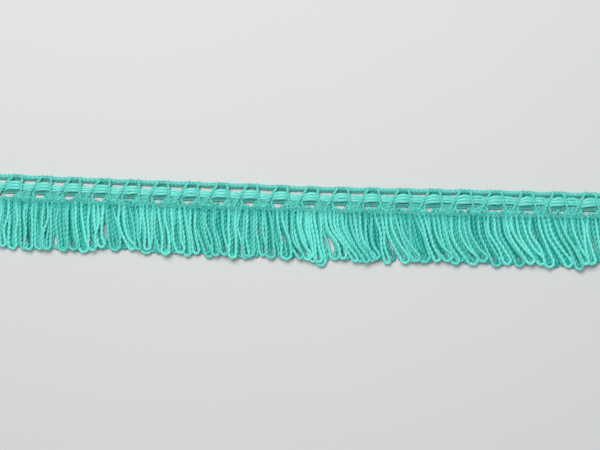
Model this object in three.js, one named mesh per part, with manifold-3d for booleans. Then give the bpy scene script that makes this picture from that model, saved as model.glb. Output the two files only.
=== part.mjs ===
// Fringe trim: a crocheted heading with two rows of open gaps, and a looped fringe at its foot.
//
// The trim lies flat on Z = 0 with its length along X. The edge cord is toward +Y, the loops
// reach toward -Y. The origin is on the underside of the heading, half way along, on the line
// where the trim is sewn on. Sizes are in millimetres.

import * as THREE from "three";
import { mergeVertices } from "three/addons/utils/BufferGeometryUtils.js";
import Module from "manifold-3d";

const wasm = await Module();
wasm.setup();

// Driving dimensions. "Down" is measured from the outer edge of the edge cord toward the loops.
const REPEAT = 10;
const REPEATS = 21;
const HEADING_DEPTH = 8.2;
const SEWING_LINE_DOWN = 4;
const BOW = 0.7;
const CLEARANCE = 0.3;
const STRIP_DEPTH = 0.8;
const STRIP_THICKNESS = 2.4;
const STRAND_WIDTH = 1.3;
const STRAND_CREST = 0.75;
const STRAND_THICKNESS = 1.25;
const LOOP_PITCH = 5;
const LEG_SPACING = 2.5;

// How unevenly the loops lie, as the most that each one departs from its neighbours, and the
// two beats, in radians for each loop, that mix into that unevenness
const UNEVEN_SPACING = 0.2;
const UNEVEN_REACH = 0.5;
const UNEVEN_LEAN = 0.3;
const QUICK_BEAT = 2.4;
const SLOW_BEAT = 0.7;
// A loop leans little at its root and more toward its end.
const LEAN_CURVE = 1.6;
const STEPS_ALONG_LEG = 3;
const STEPS_ROUND_END = 5;

// The cloth's thickness where each strand of the heading runs
const THICKNESS = {
  outerEdge: 0.7,
  edgeCord: 1.8,
  besideCord: 1.2,
  bandEdge: 1.2,
  bandStrand: 1.85,
  bandGroove: 1.5,
  gapRim: 1.1,
  footChain: 1.8,
  footEdge: 0.9,
  bindingOverBand: 2.3,
  bindingBesideGap: 1.75,
};
const BESIDE_BINDING = 0.8;

// Levels down the heading that all columns share, and the rows that bound the open gaps
const DOWN = {
  edgeCord: 0.75,
  belowCord: 1.75,
  aboveFoot: 7.4,
  footChain: 7.8,
};
const ROW = {
  belowCord: 2,
  bandTop: 3,
  bandBottom: 9,
  aboveFoot: 10,
};
// Levels at which a column's places along the repeat are given
const EDGE_LEVEL = 1;
const BAND_LEVEL = 4;
const FOOT_LEVEL = 7.6;

// One repeat of the heading, column by column. Columns slant, so each has a place along the
// repeat at the edge cord, at the band and at the foot. The band's middle and half width are
// there too, and what the binding yarn does: it lies over a column, beside it, or neither.
const COLUMNS = [
  { edge: -5.0, band: -5.0, foot: -5.0, middle: 3.7, half: 1.15, binding: "beside" },
  { edge: -4.3, band: -4.3, foot: -4.5, middle: 3.95, half: 0.95, binding: "none" },
  { edge: -2.3, band: -2.9, foot: -4.2, middle: 4.15, half: 1.1, binding: "none" },
  { edge: -0.5, band: -1.6, foot: -3.9, middle: 4.4, half: 1.2, binding: "none" },
  { edge: 0.9, band: -0.5, foot: -3.4, middle: 4.6, half: 1.1, binding: "beside" },
  { edge: 1.6, band: 0.2, foot: -2.6, middle: 4.6, half: 1.05, binding: "over" },
  { edge: 2.3, band: 0.9, foot: -1.9, middle: 4.2, half: 1.25, binding: "beside" },
  { edge: 3.1, band: 2.2, foot: 0.4, middle: 3.75, half: 1.5, binding: "none" },
  { edge: 3.8, band: 3.6, foot: 2.6, middle: 3.7, half: 1.5, binding: "beside" },
  { edge: 4.4, band: 4.25, foot: 3.5, middle: 3.7, half: 1.35, binding: "over" },
];

// The open gaps of one repeat, as the columns and rows that they lie between: one between the
// edge cord and the band, one between the band and the foot
const GAPS = [
  { fromColumn: 1, toColumn: 3, fromRow: ROW.belowCord, toRow: ROW.bandTop },
  { fromColumn: 6, toColumn: 8, fromRow: ROW.bandBottom, toRow: ROW.aboveFoot },
];

// The two layers of loops: the lower one lies on the surface, the upper one over its gaps.
const LAYERS = [
  { bottom: 0, shift: LEG_SPACING / 2, shorter: 0.9, count: 41, phase: 0.6 },
  { bottom: STRAND_THICKNESS + CLEARANCE, shift: 0, shorter: 0, count: 42, phase: 2.1 },
];

// How the loops lie along the trim: the place, how far a loop's end lies to the right of its
// root, and how far down from the outer edge it reaches.
const LIE = [
  { along: -105, lean: -0.6, reach: 24.4 },
  { along: -71, lean: 0.2, reach: 25.3 },
  { along: -62, lean: 0.8, reach: 23.4 },
  { along: -44, lean: 0.8, reach: 25.2 },
  { along: -20, lean: 1.8, reach: 25.3 },
  { along: -12, lean: 1.6, reach: 23.8 },
  { along: -2, lean: 2.4, reach: 25.2 },
  { along: 4, lean: 3.2, reach: 26.2 },
  { along: 10, lean: 3.2, reach: 24.0 },
  { along: 22, lean: 3.6, reach: 25.3 },
  { along: 44, lean: 4.2, reach: 24.6 },
  { along: 66, lean: 5.0, reach: 25.3 },
  { along: 84, lean: 5.6, reach: 25.9 },
  { along: 105, lean: 4.6, reach: 25.0 },
];

const LENGTH = REPEAT * REPEATS;
const HALF_LENGTH = LENGTH / 2;
const STRIP_TOP_DOWN = HEADING_DEPTH + CLEARANCE;
const ROOT_DOWN = STRIP_TOP_DOWN + STRIP_DEPTH / 2;

// A point of the trim, from its place along the length, down the width, and its height. The
// trim bows a little: its ends lie further toward +Y than its middle.
function point(along, down, height) {
  const bow = BOW * (along / HALF_LENGTH) ** 2;
  return new THREE.Vector3(along, SEWING_LINE_DOWN - down + bow, height);
}

// The value between two rows of a table, at a place along the trim.
function lieAt(along, column) {
  const last = LIE.length - 1;
  let row = 0;
  while (row < last - 1 && LIE[row + 1].along < along) {
    row += 1;
  }
  const from = LIE[row];
  const to = LIE[row + 1];
  const share = THREE.MathUtils.clamp((along - from.along) / (to.along - from.along), 0, 1);
  return THREE.MathUtils.lerp(from[column], to[column], share);
}

// A steady unevenness from -1 to 1, the same for the same loop each time.
function uneven(index, phase) {
  return Math.sin(index * QUICK_BEAT + phase) * Math.cos(index * SLOW_BEAT + phase);
}

// Two triangles for a four-cornered face, its corners given anticlockwise as seen from outside.
function addQuad(triangles, a, b, c, d) {
  triangles.push([a, b, c], [a, c, d]);
}

// A solid from points and from triangles that face outward.
function solid(points, triangles) {
  const mesh = new wasm.Mesh({
    numProp: 3,
    vertProperties: new Float32Array(points.flatMap((corner) => corner.toArray())),
    triVerts: new Uint32Array(triangles.flat()),
  });
  return new wasm.Manifold(mesh);
}

// A solid from a closed geometry, with each of its corners put in place by a function.
function solidOf(geometry, putInPlace) {
  geometry.deleteAttribute("normal");
  geometry.deleteAttribute("uv");
  const merged = mergeVertices(geometry);
  const points = [];
  for (let i = 0; i < merged.attributes.position.count; i += 1) {
    points.push(putInPlace(new THREE.Vector3().fromBufferAttribute(merged.attributes.position, i)));
  }
  const index = merged.index.array;
  const triangles = [];
  for (let i = 0; i < index.length; i += 3) {
    triangles.push([index[i], index[i + 1], index[i + 2]]);
  }
  return solid(points, triangles);
}

// A column's place along the repeat at one level down the heading.
function columnPlace(column, down) {
  if (down < BAND_LEVEL) {
    const share = (down - EDGE_LEVEL) / (BAND_LEVEL - EDGE_LEVEL);
    return THREE.MathUtils.lerp(column.edge, column.band, Math.max(share, 0));
  }
  const share = (down - BAND_LEVEL) / (FOOT_LEVEL - BAND_LEVEL);
  return THREE.MathUtils.lerp(column.band, column.foot, Math.min(share, 1));
}

// The rows of one column: how far down each lies and how thick the cloth is there. The band
// is three strands side by side, with a groove between each two.
function columnRows(column) {
  const strand = (column.half * 2) / 3;
  const top = column.middle - column.half;
  const rows = [
    { down: 0, thick: THICKNESS.outerEdge },
    { down: DOWN.edgeCord, thick: THICKNESS.edgeCord },
    { down: DOWN.belowCord, thick: THICKNESS.besideCord },
    { down: top, thick: THICKNESS.bandEdge },
    { down: top + strand * 0.5, thick: THICKNESS.bandStrand },
    { down: top + strand, thick: THICKNESS.bandGroove },
    { down: top + strand * 1.5, thick: THICKNESS.bandStrand },
    { down: top + strand * 2, thick: THICKNESS.bandGroove },
    { down: top + strand * 2.5, thick: THICKNESS.bandStrand },
    { down: top + strand * 3, thick: THICKNESS.gapRim },
    { down: DOWN.aboveFoot, thick: THICKNESS.gapRim },
    { down: DOWN.footChain, thick: THICKNESS.footChain },
    { down: HEADING_DEPTH, thick: THICKNESS.footEdge },
  ];
  for (let row = ROW.belowCord; row <= ROW.aboveFoot; row += 1) {
    if (column.binding === "over") {
      const onBand = row < ROW.bandBottom;
      rows[row].thick = onBand ? THICKNESS.bindingOverBand : THICKNESS.bindingBesideGap;
    }
    if (column.binding === "beside") {
      rows[row].thick *= BESIDE_BINDING;
    }
  }
  return rows;
}

// All columns of the heading from end to end, each a list of points at its rows.
function headingColumns() {
  const columns = [];
  for (let i = 0; i <= COLUMNS.length * REPEATS; i += 1) {
    const column = COLUMNS[i % COLUMNS.length];
    const middle = (Math.floor(i / COLUMNS.length) + 0.5) * REPEAT - HALF_LENGTH;
    const rows = columnRows(column);
    columns.push(rows.map((row) => point(middle + columnPlace(column, row.down), row.down, row.thick)));
  }
  return columns;
}

function isOpen(column, row) {
  const inRepeat = column % COLUMNS.length;
  return GAPS.some((gap) => inRepeat >= gap.fromColumn && inRepeat < gap.toColumn
    && row >= gap.fromRow && row < gap.toRow);
}

// The heading: its upper face follows the strands, its underside is flat, and each open gap
// is left out of both, with walls round it.
function headingSolid() {
  const columns = headingColumns();
  const rowCount = columns[0].length;
  const upper = columns.flat();
  const below = upper.map((corner) => new THREE.Vector3(corner.x, corner.y, -CLEARANCE));
  const under = upper.length;
  const at = (column, row) => column * rowCount + row;
  const isCloth = (column, row) => column >= 0 && column < columns.length - 1
    && row >= 0 && row < rowCount - 1 && !isOpen(column, row);
  const triangles = [];
  for (let column = 0; column < columns.length - 1; column += 1) {
    for (let row = 0; row < rowCount - 1; row += 1) {
      if (!isCloth(column, row)) {
        continue;
      }
      const a = at(column, row);
      const b = at(column, row + 1);
      const c = at(column + 1, row + 1);
      const d = at(column + 1, row);
      addQuad(triangles, a, b, c, d);
      addQuad(triangles, under + d, under + c, under + b, under + a);
      const sides = [
        { from: a, to: b, open: !isCloth(column - 1, row) },
        { from: b, to: c, open: !isCloth(column, row + 1) },
        { from: c, to: d, open: !isCloth(column + 1, row) },
        { from: d, to: a, open: !isCloth(column, row - 1) },
      ];
      for (const side of sides.filter((each) => each.open)) {
        addQuad(triangles, side.to, side.from, under + side.from, under + side.to);
      }
    }
  }
  const deep = solid([...upper, ...below], triangles);
  const aboveSurface = solidOf(new THREE.BoxGeometry(LENGTH * 2, LENGTH, LENGTH), (corner) =>
    corner.setZ(corner.z + LENGTH / 2));
  return deep.intersect(aboveSurface);
}

// One loop's centre line, out along one leg, round the end and back along the other. Its
// spine leans more and more; the legs lie beside the spine, and the end is a half circle.
function loopLine(along, reach, lean, spacing) {
  const radius = spacing / 2;
  const depth = reach - ROOT_DOWN - radius - STRAND_WIDTH / 2;
  const line = [];
  const beside = (share, turn) => {
    const slope = (LEAN_CURVE * lean * share ** (LEAN_CURVE - 1)) / depth;
    const steep = Math.hypot(1, slope);
    const across = radius * Math.cos(turn);
    const onward = radius * Math.sin(turn);
    line.push({
      along: along + lean * share ** LEAN_CURVE + (slope * onward - across) / steep,
      down: ROOT_DOWN + depth * share + (onward + slope * across) / steep,
    });
  };
  for (let step = 0; step < STEPS_ALONG_LEG; step += 1) {
    beside(step / STEPS_ALONG_LEG, 0);
  }
  for (let step = 0; step <= STEPS_ROUND_END; step += 1) {
    beside(1, (Math.PI * step) / STEPS_ROUND_END);
  }
  for (let step = STEPS_ALONG_LEG - 1; step >= 0; step -= 1) {
    beside(step / STEPS_ALONG_LEG, Math.PI);
  }
  return line;
}

// A four-sided strand along a centre line: wide where it lies down, narrower at its crest.
function strandSolid(line, bottom) {
  const points = [];
  const triangles = [];
  const corners = 4;
  line.forEach((here, i) => {
    const before = line[Math.max(i - 1, 0)];
    const after = line[Math.min(i + 1, line.length - 1)];
    const run = Math.hypot(after.along - before.along, after.down - before.down);
    const side = { along: (after.down - before.down) / run, down: (before.along - after.along) / run };
    const top = bottom + STRAND_THICKNESS;
    const section = [
      { across: -STRAND_WIDTH / 2, height: bottom },
      { across: STRAND_WIDTH / 2, height: bottom },
      { across: STRAND_CREST / 2, height: top },
      { across: -STRAND_CREST / 2, height: top },
    ];
    for (const { across, height } of section) {
      points.push(point(here.along + side.along * across, here.down + side.down * across, height));
    }
  });
  for (let i = 0; i < line.length - 1; i += 1) {
    const ring = i * corners;
    for (let side = 0; side < corners; side += 1) {
      const next = (side + 1) % corners;
      addQuad(triangles, ring + side, ring + next, ring + corners + next, ring + corners + side);
    }
  }
  const end = (line.length - 1) * corners;
  addQuad(triangles, 3, 2, 1, 0);
  addQuad(triangles, end, end + 1, end + 2, end + 3);
  return solid(points, triangles);
}

// The fringe: a narrow strip with both layers of loops fused into it at their roots.
function fringeSolid() {
  const strip = new THREE.BoxGeometry(LENGTH, STRIP_DEPTH, STRIP_THICKNESS, REPEATS, 1, 1);
  let fringe = solidOf(strip, (corner) =>
    point(corner.x, ROOT_DOWN - corner.y, STRIP_THICKNESS / 2 + corner.z));
  for (const layer of LAYERS) {
    for (let i = 0; i < layer.count; i += 1) {
      const along = (i + 0.5) * LOOP_PITCH - HALF_LENGTH + layer.shift;
      const reach = lieAt(along, "reach") - layer.shorter + UNEVEN_REACH * uneven(i, layer.phase);
      const lean = lieAt(along, "lean") + UNEVEN_LEAN * uneven(i, layer.phase + 1);
      const spacing = LEG_SPACING + UNEVEN_SPACING * uneven(i, layer.phase + 2);
      const line = loopLine(along, reach, lean, spacing);
      fringe = fringe.add(strandSolid(line, layer.bottom));
    }
  }
  return fringe;
}

// A named mesh from a solid, with its own yarn finish.
function yarnMesh(name, body, color, roughness) {
  const { vertProperties, triVerts } = body.getMesh();
  const geometry = new THREE.BufferGeometry();
  geometry.setAttribute("position", new THREE.BufferAttribute(vertProperties, 3));
  geometry.setIndex(new THREE.BufferAttribute(triVerts, 1));
  geometry.computeVertexNormals();
  const yarn = new THREE.MeshStandardMaterial({ color, roughness, metalness: 0 });
  const mesh = new THREE.Mesh(geometry, yarn);
  mesh.name = name;
  return mesh;
}

const trim = new THREE.Group();
trim.add(yarnMesh("heading", headingSolid(), 0x72c9bd, 0.6));
trim.add(yarnMesh("fringe", fringeSolid(), 0x5dbfb0, 0.7));

export default trim;
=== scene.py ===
# %% [markdown]
# # A looped fringe trim
#
# The piece is a cut length of furnishing trim, lying flat on a pale table. A narrow crocheted heading runs
# along the top, and a fringe of uncut yarn loops hangs from its foot. Everything is turquoise yarn, so the
# whole lesson is about one skill: carrying a round section along a path, and twisting two such tubes into
# yarn.
#
# The packed solids come first. They give the place and the size, and then pieces of yarn stand in for them.

# %% Load the packed solids
import math

import bpy
import numpy as np
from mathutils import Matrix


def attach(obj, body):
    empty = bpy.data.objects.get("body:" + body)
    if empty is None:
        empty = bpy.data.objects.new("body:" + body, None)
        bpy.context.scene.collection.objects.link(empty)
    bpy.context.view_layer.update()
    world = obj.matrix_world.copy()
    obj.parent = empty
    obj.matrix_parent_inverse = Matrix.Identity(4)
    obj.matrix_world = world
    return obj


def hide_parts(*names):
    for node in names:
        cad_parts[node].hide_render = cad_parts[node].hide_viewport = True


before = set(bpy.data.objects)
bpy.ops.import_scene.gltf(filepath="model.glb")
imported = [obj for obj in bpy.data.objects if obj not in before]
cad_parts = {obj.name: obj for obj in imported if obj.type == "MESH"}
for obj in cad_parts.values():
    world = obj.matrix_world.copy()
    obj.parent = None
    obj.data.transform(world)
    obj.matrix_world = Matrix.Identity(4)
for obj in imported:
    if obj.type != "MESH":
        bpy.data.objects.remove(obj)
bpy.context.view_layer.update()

# %% [markdown]
# ## Camera and light
#
# The trim is seen from almost straight above, turned a little, and its right end is slightly nearer than its
# left. A camera is easiest to place by what it looks at: a point on the trim, a distance, a roll about the
# line of sight and a tilt towards the right end.
#
# Soft light from above and beyond the edge cord gives the short dark shadows under the band, and the pale
# world fills the rest. One large lamp and a bright world do that. Many small lamps would give hard edges.

# %% Look at the trim
MM = 0.001
LOOK_AT = np.array([-2.07, -9.2, 0.0])
VIEW_DISTANCE = 460.0
VIEW_WIDTH = 196.1
SENSOR_WIDTH = 36.0
ROLL = math.radians(1.77)
TILT = math.radians(5.4)


def aim_camera():
    """Right and up lie in the plane of the table, turned by the roll; the tilt swings right and back."""
    level = np.array([math.cos(ROLL), math.sin(ROLL), 0.0])
    above = np.array([0.0, 0.0, 1.0])
    right = level * math.cos(TILT) - above * math.sin(TILT)
    back = level * math.sin(TILT) + above * math.cos(TILT)
    up = np.cross(back, right)
    place = (LOOK_AT + VIEW_DISTANCE * back) * MM
    matrix = np.eye(4)
    matrix[:3, :] = np.stack([right, up, back, place], axis=1)
    return matrix


lens = bpy.data.cameras.new("camera")
lens.lens = SENSOR_WIDTH * VIEW_DISTANCE / VIEW_WIDTH
lens.sensor_width = SENSOR_WIDTH
lens.clip_start = 0.01
lens.clip_end = 10.0
camera = bpy.data.objects.new("camera", lens)
bpy.context.scene.collection.objects.link(camera)
camera.matrix_world = aim_camera().T.tolist()
bpy.context.scene.camera = camera
print("lens", round(lens.lens, 1), "mm, on a view", VIEW_WIDTH, "mm wide")

# %% Light the table
KEY_PLACE = (-0.07, 0.24, 0.62)
KEY_POWER = 3.25
KEY_SIZE = 0.36
KEY_COLOUR = (1.0, 0.99, 0.97)
SKY_COLOUR = (0.96, 0.98, 1.0, 1.0)
SKY_STRENGTH = 0.31


def add_lamp(name, place, power, size, colour):
    """A square lamp at a place, turned to face the middle of the trim."""
    data = bpy.data.lights.new(name, "AREA")
    data.energy = power
    data.size = size
    data.color = colour
    lamp = bpy.data.objects.new(name, data)
    back = np.array(place) / np.linalg.norm(place)
    right = np.cross([0.0, 1.0, 0.0], back)
    right /= np.linalg.norm(right)
    matrix = np.eye(4)
    matrix[:3, :] = np.stack([right, np.cross(back, right), back, place], axis=1)
    lamp.matrix_world = matrix.T.tolist()
    bpy.context.scene.collection.objects.link(lamp)


add_lamp("key_lamp", KEY_PLACE, KEY_POWER, KEY_SIZE, KEY_COLOUR)
sky = bpy.data.worlds.new("sky")
sky.use_nodes = True
sky.node_tree.nodes["Background"].inputs["Color"].default_value = SKY_COLOUR
sky.node_tree.nodes["Background"].inputs["Strength"].default_value = SKY_STRENGTH
bpy.context.scene.world = sky
bpy.context.scene.view_settings.view_transform = "Standard"
print("lamp", KEY_SIZE, "m wide,", round(float(np.linalg.norm(KEY_PLACE)), 2), "m from the trim")

# %% [markdown]
# ## Finishes
#
# The yarn is a smooth synthetic: fine filaments run along each ply, and they show as thin streaks of gloss.
# A flat colour would look like plastic. So the finish reads a map that every tube carries: its length in
# millimetres, and how far round it a point is. Turning the second number into a cosine and a sine puts the
# noise on a cylinder, so no seam shows where the tube closes. A third number, the strand's tone, makes
# neighbouring strands differ a little, and also carries painted shade: it is set deeper where yarn lies
# under other yarn, near the foot and low in the heading.

# %% Helpers for node finishes
class Nodes:
    """A short way to add nodes to a tree and join them."""

    def __init__(self, tree):
        self.tree = tree

    def add(self, kind, settings=(), **inputs):
        """A new node with its settings, and its inputs set to values or joined to sockets."""
        node = self.tree.nodes.new(kind)
        for name, value in settings:
            setattr(node, name, value)
        for name, value in inputs.items():
            self.put(node, name, value)
        return node

    def put(self, node, name, value):
        """Sets one input. i0, i1 and so on name an input by its number, anything else by its name."""
        socket = node.inputs[int(name[1:])] if name[0] == "i" and name[1:].isdigit() else node.inputs[name]
        if isinstance(value, bpy.types.NodeSocket):
            self.tree.links.new(value, socket)
        else:
            socket.default_value = value

    def maths(self, operation, first, second=0.0):
        """The result of one sum on two numbers or sockets."""
        return self.add("ShaderNodeMath", [("operation", operation)], i0=first, i1=second).outputs[0]

    def blend(self, share, first, second):
        """A colour that goes from first to second as share goes from 0 to 1."""
        node = self.add("ShaderNodeMix", [("data_type", "RGBA")])
        self.put(node, "i0", share)
        self.put(node, "i6", first)
        self.put(node, "i7", second)
        return node.outputs[2]


def new_finish(name):
    """An empty finish: the material, its nodes and its surface shader."""
    finish = bpy.data.materials.new(name)
    finish.use_nodes = True
    return finish, Nodes(finish.node_tree), finish.node_tree.nodes["Principled BSDF"]


print("node helpers:", [name for name in vars(Nodes) if not name.startswith("_")])

# %% Yarn finish
FILAMENT_TWIST = 1.1
STREAKS_ALONG = 0.33
STREAKS_AROUND = 3.0
STREAK_SCALE = 1.3
STREAK_SHARE = 0.5
TONE_SHARE = 0.65
ROUGHNESS_SPREAD = 0.08
SHEEN_TINT = (0.5, 1.0, 0.93, 1.0)
BUMP_DEPTH = 0.00006


def yarn_finish(name, deep, light, roughness, gloss):
    """Streaks: noise at (length / 3, 3 cos a, 3 sin a). The angle a is the turn round the ply, plus a slow
    twist with the length."""
    finish, nodes, surface = new_finish(name)
    map_node = nodes.add("ShaderNodeUVMap", [("uv_map", "yarn")])
    parts = nodes.add("ShaderNodeSeparateXYZ", Vector=map_node.outputs["UV"])
    length, around = parts.outputs["X"], parts.outputs["Y"]
    turn = nodes.maths("MULTIPLY", around, 2 * math.pi)
    turn = nodes.maths("ADD", turn, nodes.maths("MULTIPLY", length, FILAMENT_TWIST))
    spot = nodes.add(
        "ShaderNodeCombineXYZ",
        X=nodes.maths("MULTIPLY", length, STREAKS_ALONG),
        Y=nodes.maths("MULTIPLY", nodes.maths("COSINE", turn), STREAKS_AROUND),
        Z=nodes.maths("MULTIPLY", nodes.maths("SINE", turn), STREAKS_AROUND),
    )
    streaks = nodes.add(
        "ShaderNodeTexNoise", Vector=spot.outputs[0], Scale=STREAK_SCALE, Detail=3.0, Roughness=0.6
    ).outputs["Fac"]
    tone = nodes.add("ShaderNodeAttribute", [("attribute_name", "strand_tone")]).outputs["Fac"]
    share = nodes.maths("MULTIPLY", streaks, STREAK_SHARE)
    share = nodes.maths("ADD", share, nodes.maths("MULTIPLY", tone, TONE_SHARE))
    nodes.put(surface, "Base Color", nodes.blend(share, deep, light))
    rough = nodes.add("ShaderNodeMapRange", Value=streaks)
    rough.inputs["To Min"].default_value = roughness - ROUGHNESS_SPREAD
    rough.inputs["To Max"].default_value = roughness + ROUGHNESS_SPREAD
    nodes.put(surface, "Roughness", rough.outputs[0])
    surface.inputs["Specular IOR Level"].default_value = gloss
    surface.inputs["Sheen Weight"].default_value = 0.15
    surface.inputs["Sheen Roughness"].default_value = 0.4
    surface.inputs["Sheen Tint"].default_value = SHEEN_TINT
    bump = nodes.add("ShaderNodeBump", Height=streaks, Strength=0.7, Distance=BUMP_DEPTH)
    nodes.put(surface, "Normal", bump.outputs[0])
    return finish


# The first colour is the deep one, the second the light one, then roughness and gloss.
heading_finish = yarn_finish("heading_yarn", (0.05, 0.44, 0.37, 1.0), (0.18, 0.94, 0.84, 1.0), 0.36, 0.7)
band_finish = yarn_finish("band_yarn", (0.07, 0.54, 0.47, 1.0), (0.22, 0.96, 0.86, 1.0), 0.32, 0.8)
fringe_finish = yarn_finish("fringe_yarn", (0.008, 0.47, 0.40, 1.0), (0.18, 0.92, 0.815, 1.0), 0.36, 0.7)
print("finishes:", heading_finish.name, band_finish.name, fringe_finish.name)

# %% [markdown]
# ## The table
#
# The table is only a stage, so it is one plain flat face. Its finish has a trace of unevenness, because a
# perfectly even pale plane looks like an empty picture.

# %% Table
TABLE_HALF = 1.5
TABLE_DEEP = (0.77, 0.78, 0.78, 1)
TABLE_LIGHT = (0.79, 0.80, 0.80, 1)


def table_top():
    """One square face at height 0, with a soft cloud of two nearly equal greys."""
    finish, nodes, surface = new_finish("pale_table")
    where = nodes.add("ShaderNodeTexCoord")
    cloud = nodes.add("ShaderNodeTexNoise", Vector=where.outputs["Object"], Scale=9.0, Detail=2.0)
    nodes.put(surface, "Base Color", nodes.blend(cloud.outputs["Fac"], TABLE_DEEP, TABLE_LIGHT))
    surface.inputs["Roughness"].default_value = 0.7
    surface.inputs["Specular IOR Level"].default_value = 0.2
    mesh = bpy.data.meshes.new("table")
    s = TABLE_HALF
    mesh.from_pydata([(-s, -s, 0), (s, -s, 0), (s, s, 0), (-s, s, 0)], [], [(0, 1, 2, 3)])
    mesh.materials.append(finish)
    table = bpy.data.objects.new("table", mesh)
    bpy.context.scene.collection.objects.link(table)


table_top()
print("table", 2 * TABLE_HALF, "m wide")

# %% [markdown]
# ## Paths
#
# Yarn is easiest to think of along the trim: how far along, how far down from the outer edge of the edge
# cord, and how high above the table, all in millimetres. Listed points along one repeat give the route,
# and a smooth curve goes through them. Such a curve passes through every point, which curves with handles do
# not promise, and it needs nothing but the four nearest points. The real piece bows a little towards both
# ends, and the step from trim to table adds that.

# %% Trim coordinates
HALF_LENGTH = 105.0
REPEAT = 10.0
REPEATS = 21
SEWING_LINE = 4.0
BOW = 0.7
RING_STEP = 0.34
chance = np.random.default_rng(7)


def on_table(route):
    """(along, down, height) to (x, y, z): y = sewing line - down + bow * (along / half length) squared."""
    along, down, height = route[..., 0], route[..., 1], route[..., 2]
    bow = BOW * (along / HALF_LENGTH) ** 2
    return np.stack([along, SEWING_LINE - down + bow, height], axis=-1)


def smooth_through(points, steps=12):
    """Cubic through points: its direction at each is from the point before it to the point after it."""
    a, b, c, d = points[:-3], points[1:-2], points[2:-1], points[3:]
    t = (np.arange(steps) / steps)[None, :, None]
    a, b, c, d = (p[:, None, :] for p in (a, b, c, d))
    curve = b + 0.5 * t * (c - a + t * (2 * a - 5 * b + 4 * c - d + t * (3 * (b - c) + d - a)))
    return curve.reshape(-1, points.shape[1])


def length_along(line):
    """The length from the start to each point: the sum of the straight steps before it."""
    return np.concatenate([[0.0], np.cumsum(np.linalg.norm(np.diff(line, axis=0), axis=1))])


def even_steps(line, step=RING_STEP):
    """The same line with its points a step apart, by its length from the start."""
    run = length_along(line)
    count = max(4, int(round(run[-1] / step)) + 1)
    even = np.linspace(0.0, run[-1], count)
    return np.stack([np.interp(even, run, line[:, k]) for k in range(3)], axis=1)


print("trim", 2 * HALF_LENGTH, "mm long,", REPEATS, "repeats")

# %% [markdown]
# ## Tubes and two-ply yarn
#
# A tube needs a frame that follows the path without spinning. Taking the last side vector and removing the
# part of it that points along the path gives one, step by step. A ply is a helix round the yarn's own line,
# and then a tube round the helix. Two plies, half a turn apart, make the yarn, and their crests are the beads
# of light that the real one shows. A plain tube with a twisted bump would be cheaper, but the outline of the
# yarn would stay smooth.

# %% Frames, tubes and plies
def carry_frame(line):
    """Side and up vectors: side is the last side less its part along the path, up is side across the path."""
    ahead = np.gradient(line, axis=0)
    ahead /= np.linalg.norm(ahead, axis=1)[:, None]
    side = np.empty_like(line)
    last = np.cross(ahead[0], [0.0, 0.0, 1.0])
    for k, way in enumerate(ahead):
        last = last - way * (last @ way)
        last = last / np.sqrt(last @ last)
        side[k] = last
    return side, np.cross(side, ahead)


def wind_ply(line, lay, reach, start):
    """A helix: line + reach * (cos t side + sin t up), with t = 2 pi * length / lay + start."""
    side, up = carry_frame(line)
    t = (2 * np.pi * length_along(line) / lay + start)[:, None]
    return line + reach * (np.cos(t) * side + np.sin(t) * up)


def tube_round(line, radius, sides):
    """Rings of points: line + radius * (cos a side + sin a up). Gives the grid and the length along it."""
    side, up = carry_frame(line)
    a = 2 * np.pi * np.arange(sides) / sides - np.pi / 2
    ring = np.cos(a)[:, None] * side[:, None, :] + np.sin(a)[:, None] * up[:, None, :]
    radius = np.broadcast_to(radius, len(line))[:, None, None]
    return line[:, None, :] + radius * ring, length_along(line)


def two_ply(line, thickness, lay, sides=8, bite=0.28):
    """Two plies of one yarn, each of radius (thickness / 4) * (1 + bite), so they press into each other."""
    ply = 0.25 * thickness * (1 + bite)
    start = chance.uniform(0, 2 * np.pi)
    turns = (start, start + np.pi)
    return [tube_round(wind_ply(line, lay, 0.5 * thickness - ply, turn), ply, sides) for turn in turns]


test_line = even_steps(np.array([[0.0, 0.0, 1.0], [10.0, 0.0, 1.0]]))
test_ply = wind_ply(test_line, lay=3.0, reach=0.3, start=0.0)
print("10 mm of yarn takes", round(float(length_along(test_ply)[-1]), 1), "mm of ply")

# %% [markdown]
# ## From tubes to one mesh
#
# A piece is many tubes in one mesh. Their points, faces, map and tones are all worked out as whole arrays and
# put into the mesh in one go, which is hundreds of times quicker than adding faces one by one. Each tube is
# closed by a flat face at both ends, as scissors leave it. Where soft yarn would sink into the table, its
# points are held just above it, so it lies flat there.

# %% Faces of a tube
def tube_faces(rings, sides, first):
    """Face (i, j) has the corners (i, j), (i + 1, j), (i + 1, j + 1) and (i, j + 1), with j going round the
    tube. A corner's number is first + i * sides + j. Gives the numbers, and each corner's i and j."""
    i, j = np.meshgrid(np.arange(rings - 1), np.arange(sides), indexing="ij")
    step = np.stack([i, i + 1, i + 1, i], axis=-1).reshape(-1, 4)
    turn = np.stack([j, j, j + 1, j + 1], axis=-1).reshape(-1, 4)
    return first + step * sides + turn % sides, step, turn


test_faces = tube_faces(rings=3, sides=8, first=0)[0]
print("a tube of 3 rings with 8 sides has", len(test_faces), "four-sided faces and 2 flat ends")

# %% Mesh maker
FLAT_ON = 0.02
LONGEST_SHIFT = 500.0


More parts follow.
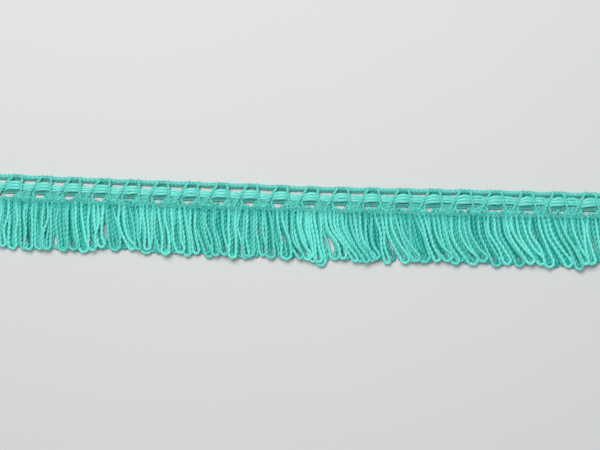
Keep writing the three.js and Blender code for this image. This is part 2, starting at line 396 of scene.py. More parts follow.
def make_piece(name, strands, finish, body="root"):
    """Joins strands of (grid, length, tone) in one mesh. The map is (length + a shift, turn / sides)."""
    points, corners, sizes, maps, tones, first = [], [], [], [], [], 0
    for grid, run, tone in strands:
        rings, sides = grid.shape[:2]
        faces, step, turn = tube_faces(rings, sides, first)
        start_cap = first + np.arange(sides)
        end_cap = first + (rings - 1) * sides + np.arange(sides)[::-1]
        placed = on_table(grid).reshape(-1, 3)
        placed[:, 2] = np.maximum(placed[:, 2], FLAT_ON)
        points.append(placed * MM)
        corners += [faces.ravel(), start_cap, end_cap]
        sizes += [np.full(len(faces), 4), np.full(2, sides)]
        shift = chance.uniform(0, LONGEST_SHIFT)
        quad_map = np.stack([run[step] + shift, turn / sides], axis=-1).reshape(-1, 2)
        cap_map = np.stack([np.repeat([run[0], run[-1]], sides) + shift, np.zeros(2 * sides)], axis=-1)
        maps += [quad_map, cap_map]
        tones.append(tone.ravel())
        first += rings * sides
    points = np.concatenate(points)
    corners = np.concatenate(corners)
    sizes = np.concatenate(sizes)
    mesh = bpy.data.meshes.new(name)
    mesh.vertices.add(len(points))
    mesh.vertices.foreach_set("co", points.ravel())
    mesh.loops.add(len(corners))
    mesh.loops.foreach_set("vertex_index", corners)
    mesh.polygons.add(len(sizes))
    mesh.polygons.foreach_set("loop_start", np.concatenate([[0], np.cumsum(sizes)[:-1]]))
    mesh.polygons.foreach_set("use_smooth", sizes == 4)
    mesh.update(calc_edges=True)
    mesh.uv_layers.new(name="yarn").data.foreach_set("uv", np.concatenate(maps).ravel())
    mesh.attributes.new("strand_tone", "FLOAT", "POINT").data.foreach_set("value", np.concatenate(tones))
    mesh.validate()
    mesh.materials.append(finish)
    piece = bpy.data.objects.new(name, mesh)
    bpy.context.scene.collection.objects.link(piece)
    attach(piece, body)
    print(name, len(strands), "tubes,", int((sizes - 2).sum()), "triangles")
    return piece


print("no point lies lower than", FLAT_ON, "mm")

# %% [markdown]
# ## The heading, strand by strand
#
# The heading repeats every 10 mm, so one repeat is listed and laid out again and again, each time a
# little differently. Handling has pulled the real trim about. Its upper edge is shifted along against the
# foot, one way at the left end and the other way at the right, and comes a little nearer to the foot in
# places. So every point slides and sinks by amounts that fade out towards the foot.
#
# The pattern changes too. At the left the band lies low between the arches and leaves a slit open above it.
# At the right it fills the slit. So a strand may have a second set of points for the right end, and each
# repeat is a mixture of the two.

# %% Repeats
SLIDE_ALONG = (-105.0, -60.0, -20.0, 0.0, 25.0, 50.0, 75.0, 105.0)
SLIDE_BY = (2.0, 1.1, 0.4, 0.0, -0.3, -0.6, -0.9, -1.1)
SINK_BY = (-0.25, 0.0, 0.1, 0.45, 0.3, 0.1, 0.35, 0.45)
FOOT_DOWN = 8.0
CHANGE_FROM = -5.0
CHANGE_OVER = 60.0
NUDGE_SHARES = (1.0, 0.7, 0.35)
# How far the painted shade near the foot line reaches.
FOOT_SHADE_REACH = 2.2


def lay_out(points, uneven=0.1, at_right=None):
    """The points of one repeat + its middle, mixed by a share with those for the right end, + a small random
    nudge. Then each is sunk and slid by the amounts at its place, times (1 - down / foot line)."""
    points = np.array(points)
    middles = (np.arange(-2, REPEATS + 2) + 0.5) * REPEAT - HALF_LENGTH
    route = np.tile(points, (len(middles), 1, 1))
    if at_right is not None:
        share = np.clip((middles - CHANGE_FROM) / CHANGE_OVER, 0, 1)
        route += share[:, None, None] * (np.array(at_right) - points)
    route[..., 0] += middles[:, None]
    route += chance.normal(0.0, uneven, route.shape) * NUDGE_SHARES
    route = route.reshape(-1, 3)
    fade = np.clip(1 - route[:, 1] / FOOT_DOWN, 0, 1)
    route[:, 1] += fade * np.interp(route[:, 0], SLIDE_ALONG, SINK_BY)
    route[:, 0] += fade * np.interp(route[:, 0], SLIDE_ALONG, SLIDE_BY)
    return route


def cut_length(points, uneven=0.1, at_right=None):
    """The smooth route through the repeats, cut off at both ends of the trim."""
    line = smooth_through(lay_out(points, uneven, at_right))
    inside = np.flatnonzero(np.abs(line[:, 0]) <= HALF_LENGTH)
    return even_steps(line[inside[0]:inside[-1] + 1])


def with_tone(tubes, spread=0.4, middle=0.55, foot=0.0):
    """tone = middle + spread * (chance - 0.5) - foot * e^(-((down - foot line) / 2.2) squared). A low tone
    is deep."""
    tone = middle + spread * (chance.random() - 0.5)
    toned = []
    for grid, run in tubes:
        # Painted shade: the tone falls near the foot line, as if in the shade of the foot chain.
        painted_foot_shade = np.exp(-((grid[..., 1] - FOOT_DOWN) / FOOT_SHADE_REACH) ** 2)
        toned.append((grid, run, tone - foot * painted_foot_shade))
    return toned


print("the upper edge slides by", SLIDE_BY[0], "mm at the left end and", SLIDE_BY[-1], "mm at the right end")

# %% [markdown]
# ### Edge cord
#
# A two-ply cord runs along the upper edge. It bends a little outwards over each arch of the band, where the
# binding yarn squeezes it between two wraps. There its colour is painted deeper, as shade from the wraps.
# Both plies are real, because the twist shows in the outline, which a bump on a plain tube would leave
# smooth.

# %% Edge cord
EDGE_CORD = [(-3.7, 0.95, 0.82), (-1.2, 0.86, 0.84), (1.3, 0.74, 0.9), (3.8, 0.86, 0.84)]
EDGE_THICKNESS = 1.5
EDGE_LAY = 2.9
EDGE_TONE = 0.1
# Painted shade: the cord's tone drops by this much over the middle of each arch, between the wraps.
ARCH_SHADE_DEPTH = 0.5
ARCH_SHADE_AT = 1.8


def over_arch(along):
    """1 over the middle of each arch, 0 half way between two: (0.5 + 0.5 cos t) squared."""
    t = 2 * np.pi * (along - np.interp(along, SLIDE_ALONG, SLIDE_BY) - ARCH_SHADE_AT) / REPEAT
    return (0.5 + 0.5 * np.cos(t)) ** 2


edge_line = cut_length(EDGE_CORD, uneven=0.05)
edge_tubes = []
# The deeper tone over each arch is painted shade from the binding wraps.
for grid, run in two_ply(edge_line, EDGE_THICKNESS, EDGE_LAY, sides=9, bite=0.4):
    edge_tubes.append((grid, run, EDGE_TONE - ARCH_SHADE_DEPTH * over_arch(grid[..., 0])))
print("edge cord", round(float(length_along(edge_line)[-1]), 1), "mm")

# %% [markdown]
# ### Band
#
# Three smooth, glossy strands lie side by side. They gather into a knot under each slanting stitch, fan out
# over the arch, and draw together again under the steep stitch that follows. Each is a single soft strand, so
# it is one tube whose thickness swells over the arch, where nothing squeezes it. A fourth, deep and twisted,
# lies under the three and closes the chinks between them. Its deep tone is painted shade in the chinks.

# %% Band strands
BAND_UPPER = [(-2.0, 4.2, 0.8), (-1.2, 3.6, 1.15), (-0.4, 3.05, 1.45), (0.5, 2.75, 1.55), (1.6, 2.65, 1.55),
              (2.7, 2.75, 1.4), (3.5, 3.1, 1.05), (4.6, 3.4, 0.95), (6.0, 3.4, 0.95), (7.2, 3.7, 0.8)]
BAND_MIDDLE = [(-2.0, 4.6, 0.65), (-1.1, 4.15, 1.15), (-0.2, 3.85, 1.5), (0.7, 3.66, 1.6), (1.8, 3.6, 1.6),
               (2.8, 3.68, 1.4), (3.6, 3.85, 0.95), (4.7, 4.1, 0.95), (6.1, 4.1, 0.95), (7.2, 4.3, 0.7)]
BAND_LOWER = [(-1.9, 5.05, 0.6), (-1.0, 4.85, 1.1), (-0.1, 4.7, 1.45), (0.8, 4.62, 1.55), (1.9, 4.58, 1.55),
              (2.9, 4.58, 1.3), (3.6, 4.65, 0.95), (4.8, 4.8, 0.9), (6.2, 4.8, 0.85), (7.3, 5.0, 0.65)]
RIGHT_UPPER = [(-2.0, 4.2, 0.8), (-1.2, 3.6, 1.15), (-0.4, 2.9, 1.45), (0.5, 2.5, 1.55), (1.6, 2.3, 1.55),
               (2.7, 2.4, 1.4), (3.5, 2.55, 1.05), (4.6, 2.45, 0.95), (6.2, 2.4, 0.95), (7.4, 2.75, 0.8)]
RIGHT_MIDDLE = [(-2.0, 4.6, 0.65), (-1.1, 4.15, 1.15), (-0.2, 3.75, 1.5), (0.7, 3.5, 1.6), (1.8, 3.4, 1.6),
                (2.8, 3.42, 1.4), (3.6, 3.4, 0.95), (4.7, 3.35, 0.95), (6.2, 3.35, 0.95), (7.4, 3.65, 0.7)]
RIGHT_LOWER = [(-1.9, 5.05, 0.6), (-1.0, 4.8, 1.1), (-0.1, 4.6, 1.45), (0.8, 4.5, 1.55), (1.9, 4.45, 1.55),
               (2.9, 4.4, 1.3), (3.6, 4.3, 0.95), (4.8, 4.2, 0.9), (6.2, 4.2, 0.85), (7.4, 4.5, 0.65)]
BAND_CORE = [(-2.5, 4.0, 0.56), (0.0, 4.0, 0.56), (2.5, 4.0, 0.56), (5.0, 4.1, 0.56)]
SWELL = 0.1
SWELL_AT = 1.3


def band_strand(points, at_right, thickness):
    """One tube; radius = half the thickness * (1 + swell * cos t), largest over the arch of each repeat."""
    line = cut_length(points, uneven=0.07, at_right=at_right)
    swell = 1 + SWELL * np.cos(2 * np.pi * (line[:, 0] - SWELL_AT) / REPEAT)
    return with_tone([tube_round(line, 0.5 * thickness * swell, sides=10)])


band_tubes = band_strand(BAND_UPPER, RIGHT_UPPER, thickness=1.0)
band_tubes += band_strand(BAND_MIDDLE, RIGHT_MIDDLE, thickness=1.0)
band_tubes += band_strand(BAND_LOWER, RIGHT_LOWER, thickness=0.95)
core_line = cut_length(BAND_CORE, uneven=0.05)
# Painted shade: the core's tone is set low, as shade under the band.
core_tubes = with_tone(two_ply(core_line, thickness=1.1, lay=3.0), spread=0.0, middle=0.1)
print("band strands", [round(float(run[-1]), 1) for _, run, _ in band_tubes], "mm")

# %% [markdown]
# ### Binding yarn
#
# One long yarn holds the band: it slants up from the foot over the knot, goes over the edge cord and round
# its outer side, runs along underneath, comes round again, and goes steeply down over the band to the foot.
# Separate stitches would be simpler to place, but one line, followed round the back as well, stays right from
# every side.

# %% Binding yarn
BINDING = [(-4.0, 8.3, 0.6), (-3.6, 7.2, 0.9), (-3.1, 6.2, 1.2), (-2.5, 5.2, 1.5), (-2.05, 4.3, 1.65),
           (-1.55, 3.4, 1.65), (-1.0, 2.5, 1.6), (-0.5, 1.7, 1.65), (-0.1, 1.05, 1.75), (0.1, 0.5, 1.5),
           (0.3, 0.35, 0.95), (0.9, 0.9, 0.6), (1.7, 1.0, 0.6), (2.5, 0.9, 0.6), (3.1, 0.35, 0.95),
           (3.4, 0.5, 1.5), (3.5, 1.1, 1.75), (3.65, 2.0, 1.6), (3.8, 3.0, 1.65), (3.95, 4.0, 1.65),
           (4.05, 5.0, 1.5), (4.3, 6.0, 1.2), (4.6, 7.1, 0.9), (4.9, 8.3, 0.6), (5.4, 8.7, 0.56)]
BINDING_THICKNESS = 1.12
BINDING_LAY = 2.8
binding_line = cut_length(BINDING, uneven=0.06)
binding_plies = two_ply(binding_line, BINDING_THICKNESS, BINDING_LAY, bite=0.36)
binding_tubes = with_tone(binding_plies, spread=0.0, middle=0.5)
print("binding yarn", round(float(length_along(binding_line)[-1])), "mm in", REPEATS, "repeats")

# %% [markdown]
# ### Low strands
#
# Under the edge cord and under the band lie more strands, deep in the shade. They lie low, so real shade
# falls on them, and their tone is also set deep as painted shade. Short strands fill the ground between a
# steep stitch and the next slanting one. One of them leans across the corner of the lower gap, and leans
# further at the left end of the trim than at the right. The thick strands laid behind them are painted deep
# as well, as shade.

# %% Low strands
LOW_LAY = 3.0
LOW_ROUTES = [
    # thickness, tone (set deep, as painted shade) and points
    (0.9, -0.2, [(-2.5, 1.62, 0.5), (0.0, 1.5, 0.5), (2.5, 1.5, 0.5), (5.0, 1.62, 0.5)]),
    (0.95, -0.25, [(-2.5, 5.45, 0.6), (-0.5, 5.42, 0.6), (1.5, 5.42, 0.6), (3.5, 5.42, 0.6),
                   (5.5, 5.4, 0.6)]),
    (0.86, -0.25, [(-2.5, 6.1, 0.44), (-0.5, 6.05, 0.44), (1.5, 6.05, 0.44), (3.5, 6.05, 0.44),
                   (5.5, 6.1, 0.44)]),
]
ACROSS_AT_RIGHT = [(4.1, 5.6, 0.6), (3.9, 6.3, 0.75), (3.6, 7.1, 0.85), (3.4, 8.3, 0.7)]
SHORT_ROUTES = [
    # tone, points, and points for the right end
    (0.4, [(8.1, 5.2, 0.6), (8.45, 6.2, 0.8), (8.8, 7.2, 0.9), (9.0, 8.3, 0.7)], None),
    (0.4, [(4.4, 5.2, 0.6), (4.0, 6.2, 0.75), (3.65, 7.2, 0.85), (3.5, 8.3, 0.7)], None),
    (0.12, [(6.6, 5.2, 0.6), (7.0, 6.2, 0.75), (7.4, 7.2, 0.85), (7.7, 8.3, 0.7)], None),
    (0.05, [(5.9, 5.2, 0.6), (5.7, 6.2, 0.7), (5.6, 7.2, 0.75), (5.4, 8.3, 0.7)], None),
    (0.3, [(3.9, 5.6, 0.6), (3.2, 6.3, 0.75), (2.7, 7.1, 0.85), (2.4, 8.3, 0.7)], ACROSS_AT_RIGHT),
]
SHORT_THICKNESS = 1.0
DEEP_ROUTE = [(5.0, 5.0, 0.5), (5.0, 6.1, 0.5), (5.0, 7.2, 0.5), (5.0, 8.3, 0.5)]
DEEP_PLACES = (0.0, 1.25, 2.5)
DEEP_THICKNESS = 1.45
# Painted shade: the thick strands behind the short ones get a deep tone, as shade.
DEEP_TONE = -0.1


def short_strands(points, thickness, middle, at_right=None):
    """One smooth strand in every repeat. A mirrored point past each end gives the curve its way there."""
    route = lay_out(points, uneven=0.12, at_right=at_right).reshape(-1, len(points), 3)[2:-2]
    made = []
    for run in route:
        padded = np.concatenate([[2 * run[0] - run[1]], run, [2 * run[-1] - run[-2]]])
        line = even_steps(smooth_through(padded))
        if np.abs(line[:, 0]).max() < HALF_LENGTH:
            plies = two_ply(line, thickness, LOW_LAY, sides=7, bite=0.36)
            made += with_tone(plies, spread=0.4, middle=middle)
    return made


low_tubes = []
for thickness, tone, points in LOW_ROUTES:
    plies = two_ply(cut_length(points, uneven=0.06), thickness, LOW_LAY, sides=7, bite=0.3)
    low_tubes += with_tone(plies, spread=0.0, middle=tone)
for tone, points, at_right in SHORT_ROUTES:
    low_tubes += short_strands(points, SHORT_THICKNESS, tone, at_right)
for place in DEEP_PLACES:
    low_tubes += short_strands(np.array(DEEP_ROUTE) + [place, 0, 0], DEEP_THICKNESS, DEEP_TONE)
print(len(low_tubes) // 2, "low strands")

# %% [markdown]
# ### Foot chain
#
# Along the foot three thin strands are plaited into the chain that grips the loops. A plait is three waves,
# a third of a period apart, that rise twice as often as they swing. Its period and its place drift slowly, on
# sines that don't fit the repeat, or it would look like a machine's seam.

# %% Foot chain
CHAIN_DOWN = 8.35
CHAIN_HEIGHT = 1.15
CHAIN_PERIOD = 3.4
CHAIN_SWING = 0.42
CHAIN_RISE = 0.42
CHAIN_LEAN = 0.15
CHAIN_UNEVEN = 0.2
CHAIN_DRIFT = 0.3
SLOW_BEATS = (0.53, 0.9, 0.37)
CHAIN_POINTS = 1400
CHAIN_THICKNESS = 0.72
CHAIN_LAY = 2.1


def plait(third):
    """down = middle + drift + swing * sin t, and height = middle + rise * sin 2t. The turn t is
    2 pi * (along / period + a slow wave + third / 3), and the drift is two slow waves multiplied."""
    along = np.linspace(-HALF_LENGTH, HALF_LENGTH, CHAIN_POINTS)
    slow = CHAIN_UNEVEN * np.sin(along * SLOW_BEATS[0])
    t = 2 * np.pi * (along / CHAIN_PERIOD + slow + third / 3)
    drift = CHAIN_DRIFT * np.sin(along * SLOW_BEATS[1]) * np.sin(along * SLOW_BEATS[2] + 1)
    down = CHAIN_DOWN + drift + CHAIN_SWING * np.sin(t)
    height = CHAIN_HEIGHT + CHAIN_RISE * np.sin(2 * t)
    return even_steps(np.stack([along + CHAIN_LEAN * np.sin(2 * t), down, height], axis=1))


chain_tubes = []
for third in range(3):
    plies = two_ply(plait(third), CHAIN_THICKNESS, CHAIN_LAY, sides=7, bite=0.36)
    chain_tubes += with_tone(plies, spread=0.5, middle=0.15)
print("each strand of the chain", round(float(length_along(plait(0))[-1])), "mm")

# %% [markdown]
# ### Putting the heading together
#
# The edge cord and the band are the cloth of the piece, so they share one mesh. The binding yarn and the foot
# chain are pieces on it. Together they take the place of the solid heading.

# %% Heading pieces
band = make_piece("edge_and_band", edge_tubes + band_tubes, band_finish)
binding = make_piece("binding_yarn", binding_tubes + low_tubes + core_tubes, heading_finish)
chain = make_piece("foot_chain", chain_tubes, heading_finish)
for piece in (band, binding, chain):
    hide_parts("heading")

# %% [markdown]
# ## The fringe
#
# Every loop is one length of two-ply yarn that comes out at the foot chain, hangs down, turns round and goes
# back. Sixty-six of them lie on top, where their lie can be read off the real trim. Each is eight numbers:
# where its left leg is at the foot, at 14 mm and at 19 mm down, the same for its right leg, where its tip
# lies, and how far down it reaches. Towards the right end the loops sweep to the side by a third of their
# length. Random loops would be quicker to make, but the eye knows the lie of yarn well, and would see the
# difference.

# %% How the loops lie
LOOPS_ON_TOP = np.array([
    (-105.0, -104.9, -104.6, -102.6, -102.6, -102.4, -103.4, 24.0),
    (-102.0, -101.6, -101.9, -99.3, -99.3, -100.6, -100.9, 24.4),
    (-99.5, -99.0, -98.9, -97.0, -96.1, -96.7, -97.6, 25.1),
    (-95.6, -95.4, -94.9, -92.4, -93.3, -93.2, -93.4, 25.0),
    (-93.0, -93.6, -93.0, -91.0, -91.2, -90.8, -91.8, 25.1),
    (-90.4, -90.1, -89.9, -87.6, -87.4, -87.2, -88.3, 24.8),
    (-86.4, -85.6, -86.8, -84.6, -84.7, -84.6, -85.8, 24.8),
    (-82.3, -82.9, -82.5, -79.1, -79.0, -79.0, -80.3, 25.0),
    (-79.8, -79.9, -79.0, -77.5, -77.4, -76.6, -76.6, 24.6),
    (-76.8, -76.5, -75.7, -74.6, -74.3, -73.0, -73.6, 25.2),
    (-72.0, -72.2, -71.6, -69.2, -68.5, -69.3, -70.4, 24.4),
    (-70.4, -70.2, -69.0, -67.4, -67.2, -67.3, -67.4, 23.3),
    (-66.0, -65.9, -65.4, -64.5, -62.9, -61.5, -62.8, 24.2),
    (-62.0, -61.8, -60.2, -60.5, -60.2, -58.5, -57.4, 23.8),
    (-59.0, -57.4, -56.2, -56.6, -55.6, -54.9, -54.9, 23.6),
    (-54.9, -54.8, -54.6, -50.5, -50.9, -50.4, -52.6, 24.8),
    (-54.0, -53.5, -52.9, -52.6, -52.3, -51.4, -51.9, 23.6),
    (-50.2, -50.0, -49.4, -43.4, -43.5, -43.8, -46.8, 24.4),
    (-49.0, -48.1, -47.1, -46.9, -46.0, -44.9, -45.6, 24.9),
    (-44.4, -44.0, -43.2, -41.8, -41.4, -40.7, -41.0, 24.2),
    (-42.0, -41.0, -39.8, -40.3, -39.3, -38.0, -38.7, 25.1),
    (-38.4, -38.0, -37.2, -36.6, -36.3, -35.6, -36.0, 24.2),
    (-36.6, -36.4, -34.4, -34.0, -33.8, -32.3, -31.6, 25.2),
    (-33.0, -32.7, -31.0, -30.8, -30.0, -29.3, -29.2, 24.6),
    (-30.0, -29.8, -28.3, -27.8, -27.3, -26.0, -26.4, 24.2),
    (-25.6, -25.3, -24.6, -23.0, -23.0, -22.6, -23.6, 25.2),
    (-21.6, -22.3, -21.0, -19.3, -19.5, -19.2, -19.6, 25.1),
    (-19.8, -20.4, -20.3, -17.3, -16.8, -16.9, -18.3, 24.6),
    (-16.6, -16.3, -15.4, -14.4, -14.0, -13.2, -13.9, 24.0),
    (-13.6, -13.2, -12.6, -12.4, -11.1, -10.3, -11.0, 24.8),
    (-9.5, -9.0, -7.8, -8.2, -6.9, -4.9, -5.9, 25.0),
    (-6.2, -6.3, -5.0, -4.7, -4.5, -3.3, -1.6, 24.6),
    (-4.2, -3.9, -2.6, -2.6, -2.3, -0.4, 1.0, 24.9),
    (-1.6, -1.4, 0.0, -0.2, 0.3, 1.8, 2.8, 25.5),
    (0.5, 1.0, 2.4, 2.6, 3.2, 4.4, 4.6, 25.6),
    (1.4, 2.1, 3.2, 4.3, 5.0, 5.6, 5.3, 26.7),
    (4.9, 5.6, 7.4, 5.8, 6.8, 10.2, 9.6, 24.5),
    (6.2, 7.4, 10.6, 7.4, 8.6, 12.2, 12.6, 24.2),
    (7.6, 8.9, 12.3, 9.0, 10.0, 13.4, 16.4, 25.0),
    (10.2, 10.9, 13.9, 11.3, 12.6, 15.4, 18.0, 25.0),
    (12.8, 13.6, 15.9, 14.2, 15.0, 17.4, 20.3, 25.2),
    (15.5, 16.3, 18.0, 17.3, 17.8, 19.8, 21.8, 24.6),
    (19.0, 19.7, 20.3, 21.0, 21.4, 22.2, 23.0, 24.0),
    (22.0, 24.0, 24.6, 24.2, 25.2, 25.8, 27.0, 25.4),
    (25.8, 26.4, 28.7, 27.3, 28.5, 31.0, 32.4, 25.0),
    (28.5, 30.3, 32.6, 30.0, 31.5, 34.4, 36.2, 24.3),
    (33.4, 33.7, 34.8, 34.6, 37.6, 39.2, 38.8, 24.6),
    (36.0, 38.6, 40.0, 37.8, 40.2, 41.6, 42.6, 24.2),
    (39.3, 40.4, 42.0, 40.8, 42.2, 44.6, 46.0, 24.0),
    (42.4, 43.4, 45.4, 44.2, 45.2, 47.4, 48.6, 24.8),
    (46.8, 47.3, 49.4, 49.4, 50.1, 52.6, 54.0, 24.9),
    (50.9, 51.5, 53.8, 52.6, 53.3, 56.0, 57.4, 23.9),
    (55.6, 56.0, 58.6, 57.2, 58.2, 60.8, 61.6, 25.2),
    (58.6, 59.3, 62.2, 60.4, 61.3, 64.0, 65.2, 24.6),
    (61.6, 62.9, 65.4, 63.3, 64.6, 67.6, 69.2, 25.1),
    (64.3, 65.4, 68.6, 65.9, 67.2, 70.6, 72.4, 24.2),
    (67.6, 68.6, 71.8, 69.4, 70.8, 74.0, 76.0, 24.4),
    (72.0, 72.6, 75.6, 74.6, 76.0, 78.0, 78.8, 25.2),
    (75.8, 77.7, 80.6, 77.5, 79.5, 82.5, 84.6, 24.9),
    (79.3, 81.6, 85.0, 81.2, 83.4, 86.8, 88.0, 25.6),
    (83.0, 83.9, 87.0, 84.8, 86.6, 88.6, 89.8, 24.0),
    (88.3, 89.4, 90.1, 90.3, 90.6, 91.9, 92.0, 23.9),
    (92.6, 93.6, 94.9, 94.4, 95.5, 97.4, 98.0, 24.8),
    (96.0, 97.0, 98.8, 98.0, 99.0, 101.0, 102.0, 25.1),
    (99.8, 100.6, 102.4, 101.6, 102.6, 104.4, 105.4, 24.7),
    (103.0, 103.6, 105.0, 104.8, 105.4, 106.8, 107.6, 24.3),
])
print(len(LOOPS_ON_TOP), "loops on top, reaching", LOOPS_ON_TOP[:, 7].mean().round(1), "mm down on average")

# %% [markdown]
# ### The loops behind
#
# An even layer of loops lies behind, with a few stray ones over it. Little of them can be read off the real
# trim but how close they are. So their roots are evenly spaced, and each takes its bend from the loops on top
# that are near it. Copies of the loops on top would show their own pattern through the spaces.

# %% How the loops behind lie
LOOPS_BEHIND = 92
STRAY_LOOPS = 12
FIRST_ROOT = -104.0
LAST_ROOT = 103.6
HALF_LOOP = 0.58
BEND_REACH = 2.2
BEND_SHARES = (0.0, 0.35, 0.7, 1.0)
WIDER_SHARES = np.array([0.0, 0.5, 1.0])
SHORTER_BY = (0.1, 0.8)


def loops_behind(count, jitter, unevenness, wider):
    """Even roots; each bends as the loops on top near it do: a mean of them with bell-shaped weights."""
    root = np.linspace(FIRST_ROOT, LAST_ROOT, count) + chance.uniform(-jitter, jitter, count)
    left, right, end = LOOPS_ON_TOP[:, :3], LOOPS_ON_TOP[:, 3:6], LOOPS_ON_TOP[:, 6:]
    middle = 0.5 * (left + right)
    near = np.exp(-0.5 * ((root[:, None] - middle[None, :, 0]) / BEND_REACH) ** 2)
    near /= near.sum(axis=1, keepdims=True)
    bend = near @ (np.column_stack([middle, end[:, 0]]) - middle[:, :1])
    bend += chance.normal(0, unevenness, count)[:, None] * BEND_SHARES
    across = HALF_LOOP + 0.5 * wider * WIDER_SHARES
    reach = near @ end[:, 1] - chance.uniform(*SHORTER_BY, count)
    centre = root[:, None] + bend
    return np.column_stack([centre[:, :3] - across, centre[:, :3] + across, centre[:, 3], reach])


print(LOOPS_BEHIND, "loops in the even layer and", STRAY_LOOPS, "stray ones")

# %% [markdown]
# ### Narrow places
#
# In five places the real loops have parted, and the table shows through. There the loops behind are pushed
# aside, away from a short slanting line, as a comb would part them. Leaving loops out would be simpler, but
# then their neighbours would not look pushed.

# %% Partings
PARTINGS = [
    # along and down at the upper end, along and down at the lower end, push
    (-83.8, 20.0, -83.8, 23.5, 0.9),
    (-71.0, 19.5, -71.0, 22.0, 0.6),
    (-66.7, 15.0, -66.5, 19.5, 0.9),
    (-8.3, 14.5, -6.4, 21.0, 1.4),
    (6.5, 15.5, 8.9, 21.5, 1.4),
]
PARTING_REACH = 1.8


def part_yarn(along, down):
    """Pushes yarn off each line by push * tanh(3 gap) * e^(-(gap / reach) squared), fading past its ends."""
    for upper, start, lower, end, push in PARTINGS:
        share = (down - start) / (end - start)
        gap = along - (upper + (lower - upper) * share)
        fade = np.exp(-(2 * share - 1) ** 4)
        along = along + push * fade * np.tanh(3 * gap) * np.exp(-(gap / PARTING_REACH) ** 2)
    return along


print(len(PARTINGS), "narrow places are kept open")

# %% [markdown]
# ### One loop as a curve
#
# Each leg is a smooth curve through its points, and a half circle joins the two legs. The half circle is
# turned to stand square on the way that the loop points, or the yarn would kink there. Slow waves, different
# for each leg, take the stiffness out of it.

# %% Loop path
ROOT_DOWN = 7.9
UPPER_LEG = 14.0
LOWER_LEG = 19.0
YARN_THICKNESS = 1.14
TIP_EXTRA = 0.4
TIP_WIDTHS = (1.7, 3.4)
WAVE_BEATS = (0.35, 0.6)
ROOT_FADE = 4.0


def leg_curve(leg, side, ahead):
    """Smooth through foot, 14 mm, 19 mm and the side of the half circle, arriving there straight ahead."""
    before = (2 * leg[0] - leg[1], 2 * ROOT_DOWN - UPPER_LEG)
    last = np.array([leg[2], LOWER_LEG])
    far = side + ahead * np.linalg.norm(side - last)
    return smooth_through(np.array([before, (leg[0], ROOT_DOWN), (leg[1], UPPER_LEG), last, side, far]))


def loop_path(row, wander, parted):
    """Left leg, half circle (centre - half across cos t + half ahead sin t), right leg backwards."""
    left, right, tip, reach = row[:3], row[3:6], row[6], row[7]
    half = 0.5 * np.clip(right[2] - left[2] + TIP_EXTRA, *TIP_WIDTHS)
    centre = np.array([tip, reach - 0.5 * YARN_THICKNESS - half])
    ahead = centre - [0.5 * (left[2] + right[2]), LOWER_LEG]
    ahead = ahead + [0.0, 1.0]
    ahead /= np.linalg.norm(ahead)
    across = np.array([ahead[1], -ahead[0]])
    t = np.linspace(0, np.pi, 13)[:, None]
    end = centre + half * (ahead * np.sin(t) - across * np.cos(t))
    legs = leg_curve(left, centre - half * across, ahead), leg_curve(right, centre + half * across, ahead)
    path = np.concatenate([legs[0], end, legs[1][::-1]])
    along, down = path[:, 0], path[:, 1]
    side = np.linspace(0, 1, len(path))
    beat, phase = chance.uniform(*WAVE_BEATS, 2), chance.uniform(0, 2 * np.pi, 2)
    wave = (1 - side) * np.sin(beat[0] * down + phase[0]) + side * np.sin(beat[1] * down + phase[1])
    along = along + wander * wave * np.clip((down - ROOT_DOWN) / ROOT_FADE, 0, 1)
    if parted:
        along = part_yarn(along, down)
    return np.stack([along, down, np.zeros_like(along)], axis=1)


test_leg = leg_curve((0.0, 0.0, 0.0), np.array([0.0, 23.0]), np.array([0.0, 1.0]))
print("a straight leg runs from", test_leg[0, 1].round(1), "to", test_leg[-1, 1].round(1), "mm down")

# %% [markdown]
# ### Laying loop on loop
#
# The loops are laid down one after another. Each new one rests on the table, or on whatever lies under it.
# Its height at every point is the highest that a neighbour asks for. That is the neighbour's height, plus the
# other side of a right-angled triangle whose long side is the distance that soft yarn keeps. Smoothing along
# the loop then gives it the stiffness of yarn. A full simulation would do the same and take minutes.
#
# At the foot the loops on top start at different heights, some lower than the chain and some higher, so that
# no straight line shows there.

# %% Heights
REST_HEIGHT = 0.66
STIFFNESS = 2.2
CLEAR_OF_ROOTS = 2.5


def smooth_along(values, spread):
    """A weighted mean of the neighbours, with bell-shaped weights and the ends held."""
    reach = int(3 * spread)
    weights = np.exp(-0.5 * (np.arange(-reach, reach + 1) / spread) ** 2)
    padded = np.pad(values, reach, mode="edge")
    return np.convolve(padded, weights / weights.sum(), mode="valid")


def lay_down(line, below, distance, root_height):
    """height = the most, over what is below, of its height + sqrt(distance squared - gap squared). Then it is
    smoothed, and near the foot it goes over to the root's own height."""
    need = np.full(len(line), REST_HEIGHT)
    if len(below):
        gap = ((line[:, None, :2] - below[None, :, :2]) ** 2).sum(-1)
        lift = below[None, :, 2] + np.sqrt(np.clip(distance ** 2 - gap, 0, None))
        need = np.maximum(need, np.where(gap < distance ** 2, lift, 0).max(axis=1))
    height = smooth_along(need, STIFFNESS / RING_STEP)
    hold = np.clip((line[:, 1] - ROOT_DOWN) / ROOT_FADE, 0, 1)
    hold = hold * hold * (3 - 2 * hold)
    return np.column_stack([line[:, :2], root_height + (height - root_height) * hold])


def lay_loops(rows, laid, distance, wander, root_height, root_lift=0.0, parted=True, step=RING_STEP):
    """Lays the loops one by one on what is laid already, and gives their lines."""
    lines = []
    for row in rows:
        line = even_steps(loop_path(row, wander, parted), step)
        root = root_height
        if root_lift:
            root += chance.uniform(0, root_lift)
        below = np.concatenate(laid) if laid else np.empty((0, 3))
        line = lay_down(line, below, distance, root)
        laid.append(line[line[:, 1] > ROOT_DOWN + CLEAR_OF_ROOTS])
        lines.append(line)
    return lines


test_bump = smooth_along(np.eye(61)[30], STIFFNESS / RING_STEP)
print("a bump is spread over about", round(float(RING_STEP / test_bump.max()), 1), "mm of yarn")

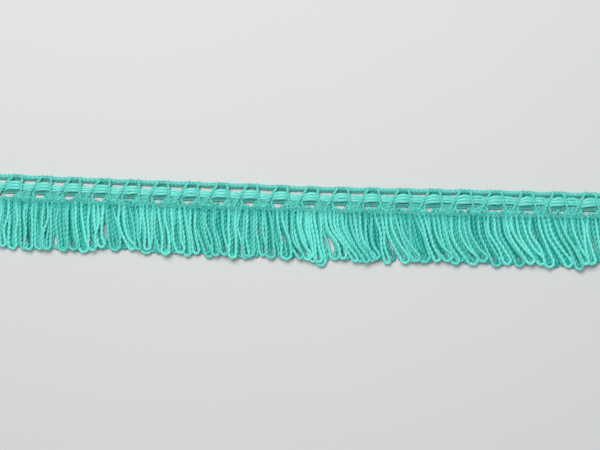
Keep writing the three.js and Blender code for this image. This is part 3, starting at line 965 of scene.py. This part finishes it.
# %% Lay all the loops
laid = []
rows = loops_behind(LOOPS_BEHIND, jitter=0.12, unevenness=0.1, wider=0.1)
lines_behind = lay_loops(rows, laid, distance=0.8, wander=0.08, root_height=0.75, step=0.42)
rows = loops_behind(STRAY_LOOPS, jitter=4.0, unevenness=0.9, wider=1.0)
lines_between = lay_loops(rows, laid, distance=0.95, wander=0.2, root_height=0.9)
rows = LOOPS_ON_TOP[chance.permutation(len(LOOPS_ON_TOP))]
lines_on_top = lay_loops(
    rows, laid, distance=1.05, wander=0.22, root_height=0.95, root_lift=0.8, parted=False, step=0.385
)
heights = np.concatenate(lines_on_top)[:, 2]
print("loops on top lie", heights.min().round(2), "to", heights.max().round(2), "mm high")

# %% [markdown]
# ### Spinning the loops
#
# Now each line becomes two plies. The lay, the length of one full turn, differs a little from loop to loop,
# as it does where yarn has been handled, and so does the tone. The yarn of the layer behind is pressed
# broader by the loops on top, so it is made thicker. Its tone is painted deep, as shade under the loops on
# top, and theirs is painted light. All the yarn is painted deeper near the foot, as shade under the chain.

# %% Fringe pieces
PRESSED_THICKNESS = 1.45
FRINGE_LAYS = (3.0, 3.4)
FRINGE_BITE = 0.42
FRINGE_SPREAD = 0.8
ARC_SPACING = 1.9
ARC_JITTER = 0.6
ARC_RISES = (0.25, 1.3)
ARC_HALF_WIDTHS = (0.45, 0.9)
ARC_ALONG = np.array([-1.2, -1.0, -0.7, 0.0, 0.7, 1.0, 1.2])
ARC_UP = np.array([-0.6, 0.0, 0.75, 1.0, 0.75, 0.0, -0.6])
ARC_HEIGHTS = np.array([0.6, 0.8, 1.0, 1.1, 1.0, 0.8, 0.6])
ARC_DOWN = 8.6
ARC_THICKNESS = 0.95
ARC_LAY = 2.8


def spin(lines, thickness, sides, middle, foot):
    """Two plies on every line, with a lay of 3.0 to 3.4 mm."""
    tubes = []
    for line in lines:
        plies = two_ply(line, thickness, chance.uniform(*FRINGE_LAYS), sides, FRINGE_BITE)
        tubes += with_tone(plies, FRINGE_SPREAD, middle, foot)
    return tubes


def foot_arcs():
    """Where one loop passes to the next, its yarn shows as a small arch above the chain: along = start + half
    * shape, down = foot - (rise + 0.4) * shape, with a higher rise at the right."""
    tubes = []
    starts = np.arange(-103.5, 103.5, ARC_SPACING)
    for start in starts + chance.uniform(-ARC_JITTER, ARC_JITTER, len(starts)):
        rise = chance.uniform(*ARC_RISES) + np.clip(start / CHANGE_OVER, 0, 0.5)
        half = chance.uniform(*ARC_HALF_WIDTHS)
        along = start + ARC_ALONG * half
        down = ARC_DOWN - (rise + 0.4) * ARC_UP
        line = even_steps(smooth_through(np.stack([along, down, ARC_HEIGHTS], axis=1)))
        plies = two_ply(line, ARC_THICKNESS, ARC_LAY, sides=6, bite=FRINGE_BITE)
        tubes += with_tone(plies, spread=0.9, middle=0.4)
    return tubes


# Painted light and shade: the middle tone is light for the loops on top and deep for the layer behind, and
# the foot amount paints shade near the chain.
top_tubes = spin(lines_on_top, YARN_THICKNESS, sides=8, middle=0.86, foot=0.85)
fringe_top = make_piece("fringe_on_top", top_tubes, fringe_finish)
between_tubes = spin(lines_between, YARN_THICKNESS, sides=7, middle=0.55, foot=0.5)
fringe_between = make_piece("fringe_between", between_tubes + foot_arcs(), fringe_finish)
behind_tubes = spin(lines_behind, PRESSED_THICKNESS, sides=6, middle=-0.1, foot=0.6)
fringe_behind = make_piece("fringe_behind", behind_tubes, fringe_finish)
for piece in (fringe_top, fringe_between, fringe_behind):
    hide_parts("fringe")

# %% [markdown]
# ## The band's size
#
# The band is cloth. Pulled flat it is 10 mm wide and 210 mm long, and the yarn covers a little under nine
# tenths of that.
